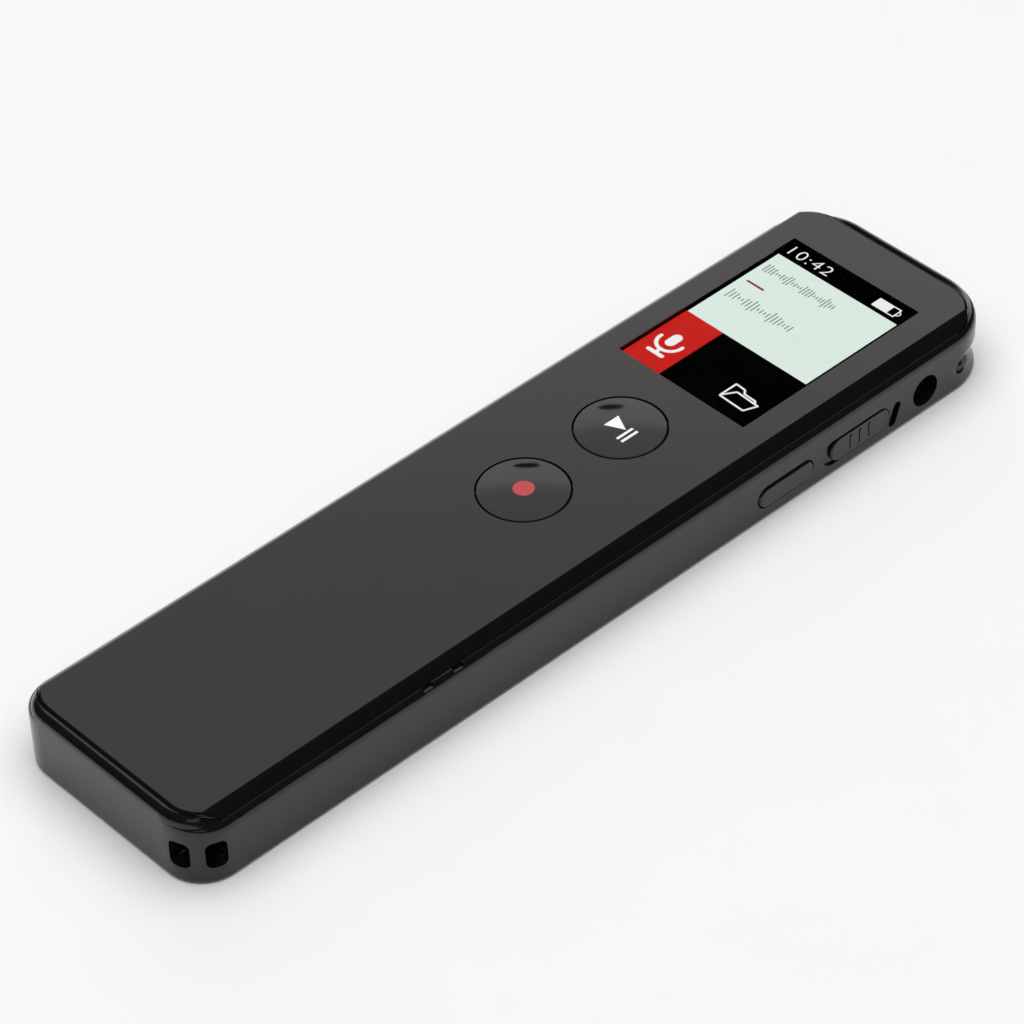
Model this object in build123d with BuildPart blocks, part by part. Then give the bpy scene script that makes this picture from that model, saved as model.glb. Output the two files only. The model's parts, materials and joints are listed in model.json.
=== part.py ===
from build123d import *
import os

# Handheld voice recorder, modelled as an assembly of separate pieces.
#
# Frame: X is the width (the headphone side is +X), Y is the length (the display
# end is +Y) and Z is the thickness (the display faces +Z).  The origin is the
# middle of the back face, so the recorder lies on the plane Z = 0.  Millimetres.

os.makedirs("parts", exist_ok=True)

# ---------------------------------------------------------------- driving sizes
WIDTH = 26.6
LENGTH = 107.4
THICK = 8.0
BOTTOM_CORNER_R = 4.3   # upright corners of the body at the strap end, in plan
TOP_CORNER_R = 6.3      # and at the display end
BACK_EDGE_R = 0.5
BOTTOM_ROUND = 0.75     # upper edge of the shell at the strap end
TOP_ROUND_Y = 2.1       # and at the display end, where it rolls over
TOP_ROUND_Z = 1.6
SIDE_ROUND_X = 0.64     # rounding of the shell's long sides below the seam
SIDE_ROUND_Z = 0.95

SEAM_Z = 6.85           # plane where the front cover meets the rear shell
RIM_Z = 7.95            # the shell's rim outside the cover's two ends
SIDE_WALL = 1.5
BACK_WALL = 0.9
BOTTOM_WALL = 1.5
TOP_WALL = 2.7          # thick enough for the groove round the top end
CAVITY_CORNER_R = 3.5

COVER_WIDTH = 25.24
COVER_Y0 = -52.68
COVER_Y1 = 52.05
COVER_BOTTOM_R = 3.8    # corners of the cover at the strap end, in plan
COVER_TOP_R = 4.4       # and at the display end
COVER_ROUND_X = 1.12    # width of the soft rounding along the cover's long sides
COVER_LEAN = 0.69       # how far the long sides lean in above the seam
COVER_END_R = 0.4       # rounded edge at the cover's ends
LIP_HEIGHT = 1.1
LIP_WALL = 0.8
FIT_GAP = 0.06          # clearance all round between pieces that register
CLEAR = 0.15            # clearance round the moving pieces
EPS = 0.01              # smallest gap left between stacked pieces

# front buttons
RECORD_Y = -0.6
PLAY_Y = 12.5
BUTTON_RIM_R = 4.84     # rim of the hole at the face
BUTTON_HOLE_R = 4.80
BUTTON_R = 4.72
BUTTON_FLANGE_R = 5.2
BUTTON_FLANGE_T = 0.45
BUTTON_TRAVEL = 0.30
BUTTON_DOME = 0.22      # how much the middle of a cap stands above its edge

# display
WINDOW_X = -0.2
WINDOW_W = 17.5
WINDOW_Y0 = 21.0
WINDOW_Y1 = 46.4

# controls on the two long sides
SIDE_Z = 2.8
KEY_LEN = 7.6
KEY_H = 2.4
KEY_TRAVEL = 0.30
PROUD = 0.2             # how far the keys and the slide's ribs stand out of the walls
SIDE_KEY_Y = 22.2
SLIDE_Y = 32.3          # recess in which the slide runs
SLIDE_LEN = 9.7
SLIDE_H = 3.0
SLIDE_DEPTH = 0.25
KNOB_LEN = 8.5
KNOB_TRAVEL = 1.0
STEM_L = 0.9
STEM_H = 0.9
JACK_Y = 42.4
JACK_Z = 2.85
JACK_BORE_R = 1.78
JACK_LEN = 14.0
MIC_Y = 48.05
MIC_Z = 2.9
MIC_HOLE_R = 1.05
SLOT_Y = 37.9
SLOT_Z = 2.45
SLOT_TILT = 70.0
USB_Y = 40.3
LEFT_KEYS_Y = (19.1, 29.4)

# circuit board
PCB_T = 0.8
PCB_TOP = 5.0
PCB_HALF_W = 11.3
PCB_Y0 = -7.0
PCB_Y1 = 49.0

half_w = WIDTH / 2
half_l = LENGTH / 2
window_mid_y = (WINDOW_Y0 + WINDOW_Y1) / 2
window_len = WINDOW_Y1 - WINDOW_Y0
pcb_bottom = PCB_TOP - PCB_T
cavity_half_w = half_w - SIDE_WALL
cavity_y0 = -half_l + BOTTOM_WALL
cavity_y1 = half_l - TOP_WALL
cavity_len = cavity_y1 - cavity_y0
cavity_mid_y = (cavity_y0 + cavity_y1) / 2


def finish(part, name):
    """Label a finished piece and write it to its STEP file."""
    part.part.label = name
    export_step(part.part, f"parts/{name}.step")


def right_wall(x, y=0.0, z=0.0):
    """Sketch plane on the right side: local X runs along +Y, local Y is up."""
    return Plane(origin=(x, y, z), x_dir=(0, 1, 0), z_dir=(1, 0, 0))


def left_wall(x, y=0.0, z=0.0):
    """Sketch plane on the left side, facing outward: local Y is up."""
    return Plane(origin=(x, y, z), x_dir=(0, -1, 0), z_dir=(-1, 0, 0))


def level(z, x=0.0, y=0.0):
    """Horizontal sketch plane at height z."""
    return Plane(origin=(x, y, z), x_dir=(1, 0, 0), z_dir=(0, 0, 1))


def across(y):
    """Upright sketch plane across the length: local X is +X, local Y is up."""
    return Plane(origin=(0, y, 0), x_dir=(1, 0, 0), z_dir=(0, -1, 0))


def plan_outline(width, y_bottom, y_top, r_bottom, r_top):
    """Rounded rectangle seen from above, with its own corner radius at each end."""
    with BuildSketch() as outline:
        with Locations((0, (y_bottom + y_top) / 2)):
            Rectangle(width, y_top - y_bottom)
        fillet(outline.vertices().sort_by(Axis.Y)[:2], r_bottom)
        fillet(outline.vertices().sort_by(Axis.Y)[-2:], r_top)
    return outline.sketch


# ------------------------------------------------------------------ rear shell
GROOVE_Z = 2.55
GROOVE_HALF_H = 1.9
GROOVE_DEPTH = 0.8
GROOVE_CORNER_R = 6.9   # the groove's floor turns wider, so it fades out along the sides
STRAP_X = 10.5          # strap hole in the bottom end
STRAP_Y = -50.9         # strap hole in the right side
STRAP_Z = 3.55
STRAP_W = 2.0
STRAP_H = 3.1
STRAP_BLOCK = 6.4
STRAP_REACH = 4.8       # how far each strap hole runs in before they meet
SPEAKER_X = -2.4
SPEAKER_Y = -44.5
SPEAKER_HOLE_R = 0.45
BOSS_R = 1.7
THROUGH_WALL = SIDE_WALL + 1.6   # cut depth from 1 mm outside, clear of the rounded inner corner
SCREW_HOLE_R = 0.65
SCREW_DEPTH = 3.1
SCREW_SPOTS = [(-9.3, 12.8), (9.3, 12.8), (9.3, -4.6), (-9.3, -4.6)]
NOTCHES_Y = (-21.2, -25.0)
NOTCH_W = 1.2
NOTCH_H = 0.5
NOTCH_DEPTH = 0.9
JACK_BODY_W = 6.0
JACK_BODY_Z0 = 0.65
JACK_BODY_Z1 = 5.2
jack_face_x = cavity_half_w - 0.1

body_plan = plan_outline(WIDTH, -half_l, half_l, BOTTOM_CORNER_R, TOP_CORNER_R)
groove_mouth = plan_outline(WIDTH + 2 * EPS, -half_l, half_l + EPS, BOTTOM_CORNER_R, TOP_CORNER_R)
groove_floor = plan_outline(WIDTH + 2 * EPS, -half_l, half_l - GROOVE_DEPTH, BOTTOM_CORNER_R,
                            GROOVE_CORNER_R)

# everything outside the waisted core is cut away round the top end
with BuildPart() as groove_core:
    with BuildSketch(level(GROOVE_Z - GROOVE_HALF_H)):
        add(groove_mouth)
    with BuildSketch(level(GROOVE_Z)):
        add(groove_floor)
    loft(ruled=True)
    with BuildSketch(level(GROOVE_Z)):
        add(groove_floor)
    with BuildSketch(level(GROOVE_Z + GROOVE_HALF_H)):
        add(groove_mouth)
    loft(ruled=True)

with BuildPart() as groove_cutter:
    with BuildSketch(level(GROOVE_Z - GROOVE_HALF_H)):
        with Locations((0, half_l)):
            Rectangle(WIDTH + 4, 2 * (GROOVE_CORNER_R + GROOVE_DEPTH))
    extrude(amount=2 * GROOVE_HALF_H)
    add(groove_core.part, mode=Mode.SUBTRACT)


def inset(depth, run, rise):
    """How far a quarter-ellipse rounding stands in, at this depth below its top."""
    return run * (1 - max(0.0, 1 - (1 - min(depth / rise, 1.0)) ** 2) ** 0.5)


def cover_inset(z):
    """How far the cover's long side has leaned in at height z, along its curved profile."""
    share = 1 - max(0.0, (THICK - z) / cover_t) ** 0.5
    return 2 * share * (1 - share) * COVER_LEAN + share ** 2 * COVER_ROUND_X


def shell_section(z):
    """Outline of the whole body at height z, with its rounded upper edges."""
    if z <= SEAM_Z:
        wide = half_w - inset(SEAM_Z - z, SIDE_ROUND_X, SIDE_ROUND_Z)
    else:
        wide = half_w - SIDE_ROUND_X - cover_inset(z)
    low = inset(RIM_Z - z, BOTTOM_ROUND, BOTTOM_ROUND)
    high = inset(RIM_Z - z, TOP_ROUND_Y, TOP_ROUND_Z)
    side = half_w - wide
    return plan_outline(2 * wide, low - half_l, half_l - high,
                        BOTTOM_CORNER_R - (low + side) / 2, TOP_CORNER_R - (high + side) / 4)


SHOULDER_Z = SEAM_Z - SIDE_ROUND_Z
LOWER_STEPS = (0.0, 0.3, 0.55, 0.75, 0.9, 1.0)
UPPER_STEPS = (0.0, 0.3, 0.55, 0.75, 0.88, 0.96, 1.0)
cover_t = THICK - SEAM_Z
inner_plan = plan_outline(WIDTH - 1.2, 0.6 - half_l, half_l - 0.6, BOTTOM_CORNER_R - 0.6,
                          TOP_CORNER_R - 0.6)
cover_seat = plan_outline(COVER_WIDTH + 2 * FIT_GAP, COVER_Y0 - FIT_GAP, COVER_Y1 + FIT_GAP,
                          COVER_BOTTOM_R, COVER_TOP_R)

with BuildPart() as rear_shell:
    with BuildSketch(level(0)):
        add(body_plan)
    extrude(amount=SHOULDER_Z)
    fillet(rear_shell.edges().group_by(Axis.Z)[0], BACK_EDGE_R)
    # shoulder up to the seam, then the rim up to the face
    for start, end, steps in ((SHOULDER_Z, SEAM_Z, LOWER_STEPS), (SEAM_Z, RIM_Z, UPPER_STEPS)):
        for share in steps:
            with BuildSketch(level(start + share * (end - start))):
                add(shell_section(start + share * (end - start)))
        loft()
    # seat of the front cover
    with BuildSketch(level(SEAM_Z)):
        add(cover_seat)
    extrude(amount=THICK, mode=Mode.SUBTRACT)
    # hollow inside
    with BuildSketch(level(BACK_WALL, y=cavity_mid_y)):
        RectangleRounded(2 * cavity_half_w, cavity_len, CAVITY_CORNER_R)
    extrude(amount=THICK, mode=Mode.SUBTRACT)
    # pocket that takes the body of the headphone jack
    with BuildSketch(right_wall(jack_face_x + FIT_GAP, JACK_Y, (JACK_BODY_Z0 + SEAM_Z) / 2)):
        Rectangle(JACK_BODY_W + 2 * FIT_GAP, SEAM_Z - JACK_BODY_Z0 + 2 * FIT_GAP)
    extrude(amount=-JACK_LEN, mode=Mode.SUBTRACT)
    # solid corner round the strap holes
    with BuildSketch(level(BACK_WALL)):
        with Locations((cavity_half_w - STRAP_BLOCK / 2, cavity_y0 + STRAP_BLOCK / 2)):
            Rectangle(STRAP_BLOCK, STRAP_BLOCK)
        add(inner_plan, mode=Mode.INTERSECT)
    extrude(amount=SEAM_Z - LIP_HEIGHT - 0.3 - BACK_WALL)
    with BuildSketch(Plane(origin=(0, -half_l - 1, 0), x_dir=(1, 0, 0), z_dir=(0, -1, 0))):
        with Locations((STRAP_X, STRAP_Z)):
            RectangleRounded(STRAP_W, STRAP_H, 0.7)
    extrude(amount=-(STRAP_REACH + 1), mode=Mode.SUBTRACT)
    with BuildSketch(right_wall(half_w + 1)):
        with Locations((STRAP_Y, STRAP_Z)):
            RectangleRounded(STRAP_W, STRAP_H, 0.7)
    extrude(amount=-(STRAP_REACH + 1), mode=Mode.SUBTRACT)
    # groove round the top end
    add(groove_cutter.part, mode=Mode.SUBTRACT)
    # bosses under the circuit board, with their screw holes
    with BuildSketch(level(BACK_WALL)):
        with Locations(*SCREW_SPOTS):
            Circle(BOSS_R)
    extrude(amount=pcb_bottom - BACK_WALL - EPS)
    with BuildSketch(level(pcb_bottom)):
        with Locations(*SCREW_SPOTS):
            Circle(SCREW_HOLE_R)
    extrude(amount=-SCREW_DEPTH, mode=Mode.SUBTRACT)
    # headphone hole, microphone holes and the slanted slot on the right side
    with BuildSketch(right_wall(half_w + 1)):
        with Locations((JACK_Y, JACK_Z)):
            Circle(JACK_BORE_R)
        with Locations((MIC_Y, MIC_Z)):
            Circle(MIC_HOLE_R)
        with Locations((SLOT_Y, SLOT_Z)):
            SlotOverall(2.9, 1.05, rotation=SLOT_TILT)
    extrude(amount=-THROUGH_WALL, mode=Mode.SUBTRACT)
    # recess and stem slot of the slide switch
    with BuildSketch(right_wall(half_w + 1)):
        with Locations((SLIDE_Y, SIDE_Z)):
            SlotOverall(SLIDE_LEN, SLIDE_H)
    extrude(amount=-(SLIDE_DEPTH + 1), mode=Mode.SUBTRACT)
    with BuildSketch(right_wall(half_w + 1)):
        with Locations((SLIDE_Y, SIDE_Z)):
            Rectangle(STEM_L + KNOB_TRAVEL + 0.2, STEM_H + 0.2)
    extrude(amount=-THROUGH_WALL, mode=Mode.SUBTRACT)
    # key holes: one on the right side, two on the left
    with BuildSketch(right_wall(half_w + 1)):
        with Locations((SIDE_KEY_Y, SIDE_Z)):
            SlotOverall(KEY_LEN + 2 * CLEAR, KEY_H + 2 * CLEAR)
    extrude(amount=-THROUGH_WALL, mode=Mode.SUBTRACT)
    with BuildSketch(left_wall(-half_w - 1)):
        for key_y in LEFT_KEYS_Y:
            with Locations((-key_y, SIDE_Z)):
                SlotOverall(KEY_LEN + 2 * CLEAR, KEY_H + 2 * CLEAR)
        with Locations((-USB_Y, SIDE_Z)):
            SlotOverall(9.1, 3.3)
        with Locations((-MIC_Y, MIC_Z)):
            Circle(MIC_HOLE_R)
    extrude(amount=-THROUGH_WALL, mode=Mode.SUBTRACT)
    # speaker holes in the back
    with BuildSketch(level(-1, SPEAKER_X, SPEAKER_Y)):
        with GridLocations(2.0, 1.8, 6, 3):
            Circle(SPEAKER_HOLE_R)
    extrude(amount=BACK_WALL + 2, mode=Mode.SUBTRACT)
    # two pry notches in the rim on the right side
    with BuildSketch(right_wall(half_w + 1)):
        for notch_y in NOTCHES_Y:
            with Locations((notch_y, SEAM_Z)):
                Rectangle(NOTCH_W, NOTCH_H)
    extrude(amount=-(1 + NOTCH_DEPTH), mode=Mode.SUBTRACT)
finish(rear_shell, "rear_shell")

# ----------------------------------------------------------------- front cover
lip_w = 2 * (cavity_half_w - FIT_GAP)
lip_len = cavity_len - 2 * FIT_GAP
cover_face_half = COVER_WIDTH / 2 - COVER_ROUND_X

cover_plan = plan_outline(COVER_WIDTH, COVER_Y0, COVER_Y1, COVER_BOTTOM_R, COVER_TOP_R)
cover_half = COVER_WIDTH / 2

with BuildPart() as front_cover:
    with BuildSketch(level(SEAM_Z)):
        add(cover_plan)
    extrude(amount=cover_t)
    fillet(front_cover.edges().group_by(Axis.Z)[-1], COVER_END_R)
    # the long sides lean in and roll over to the face
    with BuildSketch(across(half_l + 1)):
        with BuildLine():
            Line((-cover_half, SEAM_Z), (cover_half, SEAM_Z))
            Bezier((cover_half, SEAM_Z), (cover_half - COVER_LEAN, THICK),
                   (cover_face_half, THICK))
            Line((cover_face_half, THICK), (-cover_face_half, THICK))
            Bezier((-cover_face_half, THICK), (COVER_LEAN - cover_half, THICK),
                   (-cover_half, SEAM_Z))
        make_face()
    extrude(amount=LENGTH + 2, mode=Mode.INTERSECT)
    # lip that drops inside the rear shell
    with BuildSketch(level(SEAM_Z, y=cavity_mid_y)):
        RectangleRounded(lip_w, lip_len, CAVITY_CORNER_R - FIT_GAP)
        RectangleRounded(lip_w - 2 * LIP_WALL, lip_len - 2 * LIP_WALL,
                         CAVITY_CORNER_R - FIT_GAP - LIP_WALL, mode=Mode.SUBTRACT)
    extrude(amount=-LIP_HEIGHT)
    # window opening
    with BuildSketch(level(THICK + 1, WINDOW_X, window_mid_y)):
        Rectangle(WINDOW_W, window_len)
    extrude(amount=-3, mode=Mode.SUBTRACT)
    # the two button holes
    with BuildSketch(level(THICK + 1)):
        with Locations((0, RECORD_Y), (0, PLAY_Y)):
            Circle(BUTTON_HOLE_R)
    extrude(amount=-3, mode=Mode.SUBTRACT)
    rims = front_cover.faces().sort_by(Axis.Z)[-1].edges().filter_by(GeomType.CIRCLE)
    chamfer(rims.filter_by(lambda e: abs(e.radius - BUTTON_HOLE_R) < 0.01),
            BUTTON_RIM_R - BUTTON_HOLE_R)
finish(front_cover, "front_cover")

# --------------------------------------------------------------------- display
WINDOW_T = 0.45
WINDOW_GAP = 0.04

with BuildPart() as display_window:
    with BuildSketch(level(THICK, WINDOW_X, window_mid_y)):
        Rectangle(WINDOW_W - 2 * WINDOW_GAP, window_len - 2 * WINDOW_GAP)
    extrude(amount=-WINDOW_T)
finish(display_window, "display_window")

TAPE_T = 0.12
TAPE_W = 0.65
LCD_T = 1.45
LCD_GLASS_T = 0.9
LCD_RIM = 0.6
LCD_W = 20.4
LCD_Y0 = 18.4
LCD_Y1 = 47.6
lcd_mid_y = (LCD_Y0 + LCD_Y1) / 2
lcd_len = LCD_Y1 - LCD_Y0
lcd_top = SEAM_Z - TAPE_T - 2 * EPS

with BuildPart() as window_tape:
    with BuildSketch(level(lcd_top + EPS, WINDOW_X, window_mid_y)):
        Rectangle(WINDOW_W + 0.2 + 2 * TAPE_W, window_len + 0.2 + 2 * TAPE_W)
        Rectangle(WINDOW_W + 0.2, window_len + 0.2, mode=Mode.SUBTRACT)
    extrude(amount=TAPE_T)
finish(window_tape, "window_tape")

with BuildPart() as display_panel:
    with BuildSketch(level(lcd_top, y=lcd_mid_y)):
        Rectangle(LCD_W - 2 * LCD_RIM, lcd_len - 2 * LCD_RIM)
    extrude(amount=-LCD_GLASS_T)
    # the upper glass stands up into the opening, right under the window
    with BuildSketch(level(lcd_top, WINDOW_X, window_mid_y)):
        Rectangle(WINDOW_W - 4 * WINDOW_GAP, window_len - 4 * WINDOW_GAP)
    extrude(amount=THICK - WINDOW_T - EPS - lcd_top)
finish(display_panel, "display_panel")

with BuildPart() as display_frame:
    with BuildSketch(level(lcd_top, y=lcd_mid_y)):
        Rectangle(LCD_W, lcd_len)
    extrude(amount=-LCD_T)
    with BuildSketch(level(lcd_top, y=lcd_mid_y)):
        Rectangle(LCD_W - 2 * LCD_RIM + FIT_GAP, lcd_len - 2 * LCD_RIM + FIT_GAP)
    extrude(amount=-LCD_GLASS_T - EPS, mode=Mode.SUBTRACT)
finish(display_frame, "display_frame")

FLEX_W = 9.0
FLEX_T = 0.12
FLEX_BEND = 0.6         # how far the tail stands out before it turns back
FLEX_RUN = 6.0          # how far it runs back under the display
flex_high = lcd_top - LCD_T + 0.3
flex_low = PCB_TOP + 0.1

with BuildPart() as display_flex:
    with BuildSketch(right_wall(-FLEX_W / 2)):
        with BuildLine():
            Polyline((LCD_Y0 - EPS, flex_high), (LCD_Y0 - FLEX_BEND, flex_high),
                     (LCD_Y0 - FLEX_BEND, flex_low), (LCD_Y0 + FLEX_RUN, flex_low),
                     (LCD_Y0 + FLEX_RUN, flex_low + FLEX_T),
                     (LCD_Y0 - FLEX_BEND + FLEX_T, flex_low + FLEX_T),
                     (LCD_Y0 - FLEX_BEND + FLEX_T, flex_high - FLEX_T),
                     (LCD_Y0 - EPS, flex_high - FLEX_T), close=True)
        make_face()
    extrude(amount=FLEX_W)
finish(display_flex, "display_flex")

# --------------------------------------------------------------- front buttons
FLANGE_TOP = SEAM_Z - 0.05
flange_bottom = FLANGE_TOP - BUTTON_FLANGE_T
STEM_R = 1.1
STEM_LEN = 0.55
cap_edge_z = THICK - 0.02
cap_top = cap_edge_z + BUTTON_DOME
CAP_EDGE_R = 0.18       # rounded edge of a cap
MARK_R = 1.1
MARK_DEPTH = 0.35       # pockets for the coloured marks, below the face
MARK_GAP = 0.015
MARK_T = 0.25
DOT_SINK = 0.012        # the marks' flat tops lie level with the dome near them
SYMBOL_SINK = 0.055
MARK_SHIFT = -0.45      # the play mark sits a little towards the strap end


def button_cap(y):
    """Blank of a front button: stem, flange, shaft and domed top, turned about its axis."""
    with BuildPart() as cap:
        with BuildSketch(across(y)):
            with BuildLine():
                Line((0, flange_bottom - STEM_LEN), (STEM_R, flange_bottom - STEM_LEN))
                Line((STEM_R, flange_bottom - STEM_LEN), (STEM_R, flange_bottom))
                Line((STEM_R, flange_bottom), (BUTTON_FLANGE_R, flange_bottom))
                Line((BUTTON_FLANGE_R, flange_bottom), (BUTTON_FLANGE_R, FLANGE_TOP))
                Line((BUTTON_FLANGE_R, FLANGE_TOP), (BUTTON_R, FLANGE_TOP))
                Line((BUTTON_R, FLANGE_TOP), (BUTTON_R, cap_edge_z - CAP_EDGE_R))
                RadiusArc((BUTTON_R, cap_edge_z - CAP_EDGE_R), (BUTTON_R - CAP_EDGE_R, cap_edge_z),
                          -CAP_EDGE_R)
                ThreePointArc((BUTTON_R - CAP_EDGE_R, cap_edge_z),
                              (BUTTON_R / 2, cap_edge_z + 0.715 * BUTTON_DOME),
                              (0, cap_top))
                Line((0, cap_top), (0, flange_bottom - STEM_LEN))
            make_face()
        revolve(axis=Axis((0, y, 0), (0, 0, 1)))
    return cap.part


def play_mark(grow):
    """Play triangle pointing to +X, with two pause bars beside it."""
    with BuildSketch() as mark:
        with Locations((0, MARK_SHIFT)):
            with BuildLine():
                Polyline((-1.35 - grow, -1.02 - 1.6 * grow), (0.8 + 1.6 * grow, 0),
                         (-1.35 - grow, 1.02 + 1.6 * grow), close=True)
            make_face()
        with Locations((1.08, MARK_SHIFT), (1.72, MARK_SHIFT)):
            Rectangle(0.32 + 2 * grow, 2.2 + 2 * grow)
    return mark.sketch


record_blank = button_cap(RECORD_Y)
play_blank = button_cap(PLAY_Y)
mark_pocket = play_mark(MARK_GAP)
mark_shape = play_mark(0)

with BuildPart() as record_button:
    add(record_blank)
    with BuildSketch(level(THICK + 1, y=RECORD_Y)):
        Circle(MARK_R + MARK_GAP)
    extrude(amount=-(1 + MARK_DEPTH), mode=Mode.SUBTRACT)
finish(record_button, "record_button")

with BuildPart() as record_dot:
    with BuildSketch(level(cap_top - DOT_SINK, y=RECORD_Y)):
        Circle(MARK_R)
    extrude(amount=-MARK_T)
finish(record_dot, "record_dot")

with BuildPart() as play_button:
    add(play_blank)
    with BuildSketch(level(THICK + 1, y=PLAY_Y)):
        add(mark_pocket)
    extrude(amount=-(1 + MARK_DEPTH), mode=Mode.SUBTRACT)
finish(play_button, "play_button")

with BuildPart() as play_symbol:
    with BuildSketch(level(cap_top - SYMBOL_SINK, y=PLAY_Y)):
        add(mark_shape)
    extrude(amount=-MARK_T)
finish(play_symbol, "play_symbol")

SWITCH_TOP = flange_bottom - STEM_LEN - BUTTON_TRAVEL - 0.05
with BuildPart() as front_switches:
    with BuildSketch(level(PCB_TOP + EPS)):
        with Locations((0, RECORD_Y), (0, PLAY_Y)):
            RectangleRounded(4.2, 3.4, 0.4)
    extrude(amount=0.35)
    with BuildSketch(level(PCB_TOP + EPS)):
        with Locations((0, RECORD_Y), (0, PLAY_Y)):
            Circle(1.0)
    extrude(amount=SWITCH_TOP - PCB_TOP - EPS)
finish(front_switches, "front_switches")

PAD_TOP = flange_bottom - BUTTON_TRAVEL - 0.05
PAD_R = 4.6
with BuildPart() as return_pad:
    with BuildSketch(level(PCB_TOP + EPS, y=(RECORD_Y + PLAY_Y) / 2)):
        RectangleRounded(2 * PAD_R + 1.6, 2 * PAD_R + 0.2 + PLAY_Y - RECORD_Y, 2.0)
    extrude(amount=0.3)
    with BuildSketch(level(PCB_TOP + EPS)):
        with Locations((0, RECORD_Y), (0, PLAY_Y)):
            Circle(PAD_R)
    extrude(amount=PAD_TOP - PCB_TOP - EPS)
    with BuildSketch(level(PCB_TOP)):
        with Locations((0, RECORD_Y), (0, PLAY_Y)):
            Circle(PAD_R - 1.0)
    extrude(amount=3, mode=Mode.SUBTRACT)
finish(return_pad, "return_pad")

# ------------------------------------------------------- keys on the long sides
KEY_FLANGE = 0.7
key_inner_x = cavity_half_w - 0.05 - 0.6
KEY_CROWN = 0.3


def side_key(name, sign, key_y):
    """A pill-shaped key in a side wall, with a flange behind the wall."""
    plane = right_wall if sign > 0 else left_wall
    with BuildPart() as key:
        with BuildSketch(plane(sign * key_inner_x, key_y, SIDE_Z)):
            SlotOverall(KEY_LEN + 2 * KEY_FLANGE, KEY_H + 1.0)
        extrude(amount=0.6)
        with BuildSketch(plane(sign * key_inner_x, key_y, SIDE_Z)):
            SlotOverall(KEY_LEN, KEY_H)
        extrude(amount=half_w + PROUD - key_inner_x)
        outer = key.faces().sort_by(Axis.X)[-1 if sign > 0 else 0]
        fillet(outer.edges(), KEY_CROWN)
    finish(key, name)


side_key("side_key", 1, SIDE_KEY_Y)
for key_name, key_y in zip(("left_key_lower", "left_key_upper"), LEFT_KEYS_Y):
    side_key(key_name, -1, key_y)

TACT_L = 4.0
TACT_H = 1.9
TACT_D = 1.6
PLUNGER_L = 0.75
tact_front = key_inner_x - KEY_TRAVEL - 0.06
tact_z = pcb_bottom - EPS - TACT_H / 2


def side_switches(name, sign, spots):
    """Right-angle tactile switches hung under the edge of the board."""
    plane = right_wall if sign > 0 else left_wall
    with BuildPart() as switches:
        for spot_y in spots:
            with BuildSketch(plane(sign * (tact_front - PLUNGER_L), spot_y, tact_z)):
                RectangleRounded(TACT_L, TACT_H, 0.2)
            extrude(amount=-TACT_D)
            with BuildSketch(plane(sign * (tact_front - PLUNGER_L), spot_y, tact_z)):
                Rectangle(1.8, 0.9)
            extrude(amount=PLUNGER_L)
    finish(switches, name)


side_switches("side_switch", 1, (SIDE_KEY_Y,))
side_switches("left_switches", -1, LEFT_KEYS_Y)

# ----------------------------------------------------------------- slide switch
knob_y = SLIDE_Y + KNOB_TRAVEL / 2
knob_bottom_x = half_w - SLIDE_DEPTH + 0.05
KNOB_H = 2.8
KNOB_PROUD = 0.12       # the knob's face outside the wall, below the tops of its ribs
KNOB_CROWN = 0.2
RIB_STEP = 1.35
RIB_L = 0.35
stem_inner_x = cavity_half_w - 0.9

with BuildPart() as slide_knob:
    with BuildSketch(right_wall(knob_bottom_x, knob_y, SIDE_Z)):
        SlotOverall(KNOB_LEN, KNOB_H)
    extrude(amount=half_w + KNOB_PROUD - knob_bottom_x)
    fillet(slide_knob.faces().sort_by(Axis.X)[-1].edges(), KNOB_CROWN)
    # three raised ribs across the knob
    with BuildSketch(right_wall(knob_bottom_x, knob_y, SIDE_Z)):
        with GridLocations(RIB_STEP, 1, 3, 1):
            SlotOverall(KNOB_H - 1.0, RIB_L, rotation=90)
    extrude(amount=half_w + PROUD - knob_bottom_x)
    # stem through the wall, down to the switch
    with BuildSketch(right_wall(knob_bottom_x, knob_y, SIDE_Z)):
        Rectangle(STEM_L, STEM_H)
    extrude(amount=-(knob_bottom_x - stem_inner_x))
finish(slide_knob, "slide_knob")

SLIDER_BODY_L = 8.2
SLIDER_BODY_H = 2.6
slider_face_x = stem_inner_x - 0.35
slider_z = pcb_bottom - EPS - SLIDER_BODY_H / 2

with BuildPart() as slide_switch:
    with BuildSketch(right_wall(slider_face_x, SLIDE_Y, slider_z)):
        Rectangle(SLIDER_BODY_L, SLIDER_BODY_H)
    extrude(amount=-2.6)
    with BuildSketch(right_wall(slider_face_x, SLIDE_Y, SIDE_Z)):
        Rectangle(STEM_L + KNOB_TRAVEL + 0.5, STEM_H + 0.4)
    extrude(amount=-1.4, mode=Mode.SUBTRACT)
finish(slide_switch, "slide_switch")

with BuildPart() as slide_actuator:
    with BuildSketch(right_wall(stem_inner_x - EPS, knob_y, SIDE_Z)):
        Rectangle(STEM_L, STEM_H)
    extrude(amount=-1.45)
finish(slide_actuator, "slide_actuator")

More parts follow.
